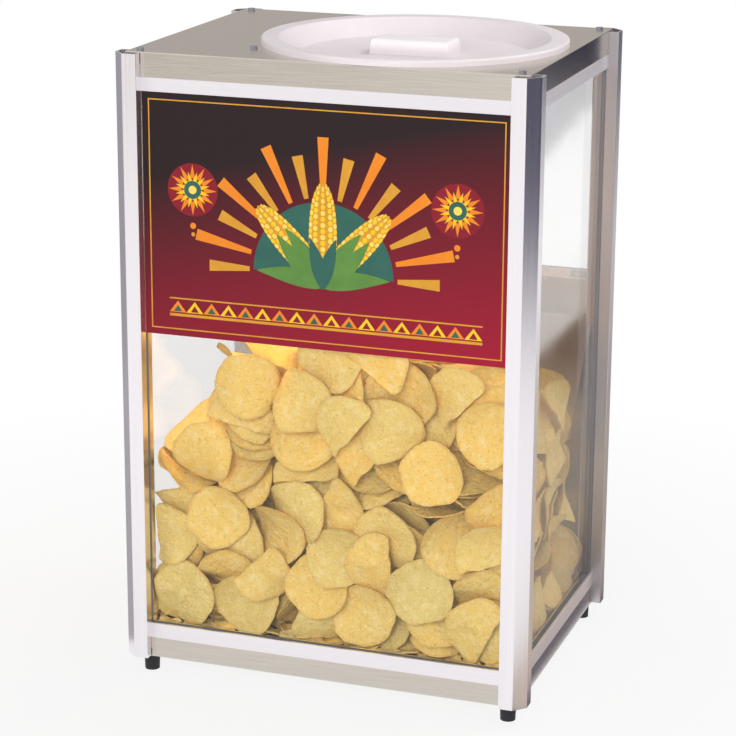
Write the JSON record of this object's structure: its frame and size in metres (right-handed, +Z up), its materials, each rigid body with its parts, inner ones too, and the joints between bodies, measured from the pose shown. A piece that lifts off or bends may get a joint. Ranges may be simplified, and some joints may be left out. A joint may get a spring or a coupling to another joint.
{
  "type": "chip warmer",
  "caption": "Counter-top glass cabinet that keeps corn chips warm: filled through a lidded round opening in the top, emptied at a flip-up rear door under a sloping baffle.",
  "frame": {"origin": "on the surface it stands on, at the middle of the cabinet's plan", "axes": "+X to the right seen from the front, -Y towards the front with the sign, +Z up"},
  "size_m": [0.406, 0.318, 0.618],
  "materials": {
    "stainless_sheet": "brushed",
    "anodised_aluminium": "satin anodised",
    "black_plastic": "moulded",
    "magnet_ferrite": "ferrite in a plastic block",
    "galvanised_steel": "galvanised",
    "screw_steel": "zinc plated",
    "foot_rubber": "black",
    "clear_glass": "clear tempered",
    "seal_vinyl": "grey vinyl",
    "sign_print": "printed film",
    "element_sheath": "heat-tinted sheath",
    "bulb_glass": "clear",
    "holder_ceramic": "bare",
    "wire_silicone": "silicone insulation",
    "frosted_lens": "frosted",
    "lid_plastic": "moulded white",
    "rivet_aluminium": "bare",
    "pilot_red": "translucent red",
    "phenolic": "brown moulding"
  },
  "bodies": {
    "cabinet": {"baffle": "stainless_sheet", "base_pan": "stainless_sheet", "bottom_rail_front": "anodised_aluminium", "bottom_rail_left": "anodised_aluminium", "bottom_rail_right": "anodised_aluminium", "cord_bushing": "black_plastic", "deck": "stainless_sheet", "door_magnet": "magnet_ferrite", "element_clips": "galvanised_steel", "element_pins": "screw_steel", "fan_frame": "black_plastic", "foot_front_left": "foot_rubber", "foot_front_right": "foot_rubber", "foot_rear_left": "foot_rubber", "foot_rear_right": "foot_rubber", "front_glass": "clear_glass", "front_glass_seal": "seal_vinyl", "front_sign": "sign_print", "heating_element": "element_sheath", "hinge_pins": "screw_steel", "hinge_rail_leaves": "stainless_sheet", "lamp_bulb": "bulb_glass", "lamp_holder": "holder_ceramic", "lamp_housing": "stainless_sheet", "lamp_lead": "wire_silicone", "lamp_lens": "frosted_lens", "lamp_screws": "screw_steel", "left_glass": "clear_glass", "left_glass_seal": "seal_vinyl", "limit_switch": "rivet_aluminium", "middle_rail_rear": "anodised_aluminium", "pilot_light": "pilot_red", "post_front_left": "anodised_aluminium", "post_front_right": "anodised_aluminium", "post_rear_left": "anodised_aluminium", "post_rear_right": "anodised_aluminium", "post_screws": "screw_steel", "rail_brackets": "galvanised_steel", "rear_glass": "clear_glass", "rear_glass_seal": "seal_vinyl", "right_glass": "clear_glass", "right_glass_seal": "seal_vinyl", "rivets": "rivet_aluminium", "switch_body": "black_plastic", "terminal_block": "phenolic", "thermostat_body": "phenolic", "top_pan": "stainless_sheet", "top_rail_front": "anodised_aluminium", "top_rail_left": "anodised_aluminium", "top_rail_rear": "anodised_aluminium", "top_rail_right": "anodised_aluminium", "wires": "wire_silicone"},
    "lid": {"lid": "lid_plastic"},
    "door": {"door": "stainless_sheet", "door_pull": "stainless_sheet", "door_strike": "galvanised_steel", "hinge_door_leaves": "stainless_sheet"},
    "fan_rotor": {"fan_rotor": "black_plastic"},
    "thermostat_knob": {"thermostat_knob": "black_plastic"},
    "switch_rocker": {"switch_rocker": "black_plastic"}
  },
  "joints": [
    {"name": "lid_lift", "type": "slide", "parent": "cabinet", "child": "lid", "axis": [0, 0, 1], "range_m": [0, 0.15]},
    {"name": "door_swing", "type": "hinge", "parent": "cabinet", "child": "door", "pos_m": [0, 0.148, 0.347], "axis": [1, 0, 0], "range_deg": [0, 140]},
    {"name": "fan_spin", "type": "hinge", "parent": "cabinet", "child": "fan_rotor", "pos_m": [-0.07, 0.005, 0.025], "axis": [0, 0, 1], "continuous": true},
    {"name": "thermostat_turn", "type": "hinge", "parent": "cabinet", "child": "thermostat_knob", "pos_m": [-0.015, 0.15, 0.0335], "axis": [0, -1, 0], "range_deg": [0, 270]},
    {"name": "switch_rock", "type": "hinge", "parent": "cabinet", "child": "switch_rocker", "pos_m": [-0.1, 0.147, 0.0335], "axis": [0, 0, -1], "range_deg": [0, 18]}
  ]
}
